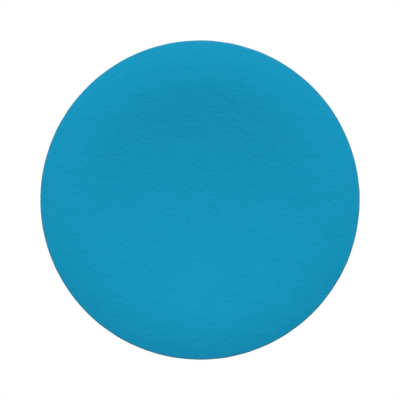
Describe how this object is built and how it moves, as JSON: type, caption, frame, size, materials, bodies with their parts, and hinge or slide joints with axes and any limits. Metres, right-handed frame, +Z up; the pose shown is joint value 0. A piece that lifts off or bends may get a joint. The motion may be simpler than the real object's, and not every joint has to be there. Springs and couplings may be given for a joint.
{
  "type": "disc air stone",
  "caption": "Round dished air stone on a weighted base, with suction cups, a check valve and a swivelling hose nozzle underneath.",
  "frame": {"origin": "on the disc's axis, in the plane under the suction cups' lips", "axes": "+Z up along the disc's axis, -Y along the hose nozzle at rest, +X to the right seen from the nozzle's side"},
  "size_m": [0.1, 0.1, 0.04],
  "materials": {
    "stone": "matt, fine porous grain, dyed through",
    "shell": "fine moulded texture",
    "nozzle": "semi-gloss moulding",
    "cup": "soft, see-through vinyl",
    "seal": "matt",
    "foam": "closed-cell foam",
    "ballast": "epoxy powder coat",
    "steel": "stainless",
    "valve_plastic": "natural acetal"
  },
  "bodies": {
    "base": {"stone_disc": "stone", "stone_seal": "seal", "air_tray": "shell", "base_cover": "shell", "ballast_ring": "ballast", "ballast_pad": "foam", "cover_screws": "steel", "circlip": "steel", "valve_body": "valve_plastic", "valve_o_ring": "seal", "valve_cap": "valve_plastic", "valve_spring": "steel"},
    "nozzle": {"nozzle_elbow": "nozzle", "swivel_o_rings": "seal", "thrust_washer": "valve_plastic"},
    "plunger": {"valve_poppet": "valve_plastic", "valve_washer": "seal"},
    "cup_front_left": {"suction_cup_front_left": "cup"},
    "cup_front_right": {"suction_cup_front_right": "cup"},
    "cup_back_left": {"suction_cup_back_left": "cup"},
    "cup_back_right": {"suction_cup_back_right": "cup"}
  },
  "joints": [
    {"name": "nozzle_swivel", "type": "hinge", "parent": "base", "child": "nozzle", "pos_m": [0, 0, 0.0056], "axis": [0, 0, 1], "range_deg": [-25, 25]},
    {"name": "valve_lift", "type": "slide", "parent": "base", "child": "plunger", "axis": [0, 0, 1], "range_m": [0, 0.0012], "stiffness_N_per_m": 15, "springref_m": -0.001, "deforming": ["valve_spring"]},
    {"name": "cup_turn_front_left", "type": "hinge", "parent": "base", "child": "cup_front_left", "pos_m": [-0.02916, -0.02278, 0.012], "axis": [0, 0, 1], "continuous": true},
    {"name": "cup_turn_front_right", "type": "hinge", "parent": "base", "child": "cup_front_right", "pos_m": [0.02916, -0.02278, 0.012], "axis": [0, 0, 1], "continuous": true},
    {"name": "cup_turn_back_left", "type": "hinge", "parent": "base", "child": "cup_back_left", "pos_m": [-0.02916, 0.02278, 0.012], "axis": [0, 0, 1], "continuous": true},
    {"name": "cup_turn_back_right", "type": "hinge", "parent": "base", "child": "cup_back_right", "pos_m": [0.02916, 0.02278, 0.012], "axis": [0, 0, 1], "continuous": true}
  ]
}
